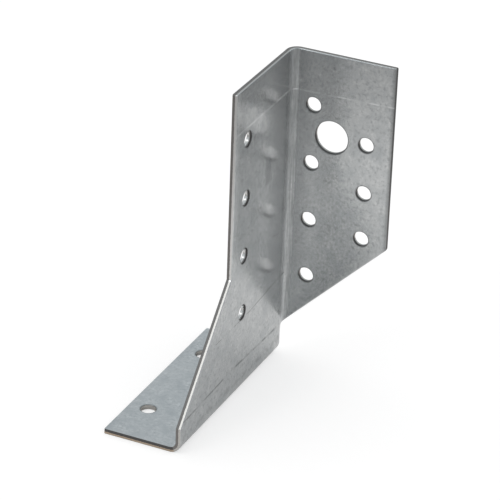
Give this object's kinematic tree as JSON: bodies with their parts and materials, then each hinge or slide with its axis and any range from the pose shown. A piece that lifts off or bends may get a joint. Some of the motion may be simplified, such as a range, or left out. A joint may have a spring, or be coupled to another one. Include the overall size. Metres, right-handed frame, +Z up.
{
  "type": "joist hanger",
  "caption": "One half of a two-part joist hanger: a folded steel sheet with a header flange, a side plate that widens downwards, and a narrow seat under the joist.",
  "frame": {"origin": "the joist's bottom corner against the header: the joist's side is x = 0, the header's face is y = 0 and the joist's underside is z = 0", "axes": "+X across the joist, away from it along the header; +Y into the header; +Z up"},
  "size_m": [0.0607, 0.076, 0.1073],
  "materials": {
    "galvanised_steel": "hot-dip zinc coating, satin, with fine mottling and cut edges that show the bare steel"
  },
  "bodies": {
    "root": {"hanger_plate": "galvanised_steel"}
  },
  "joints": []
}
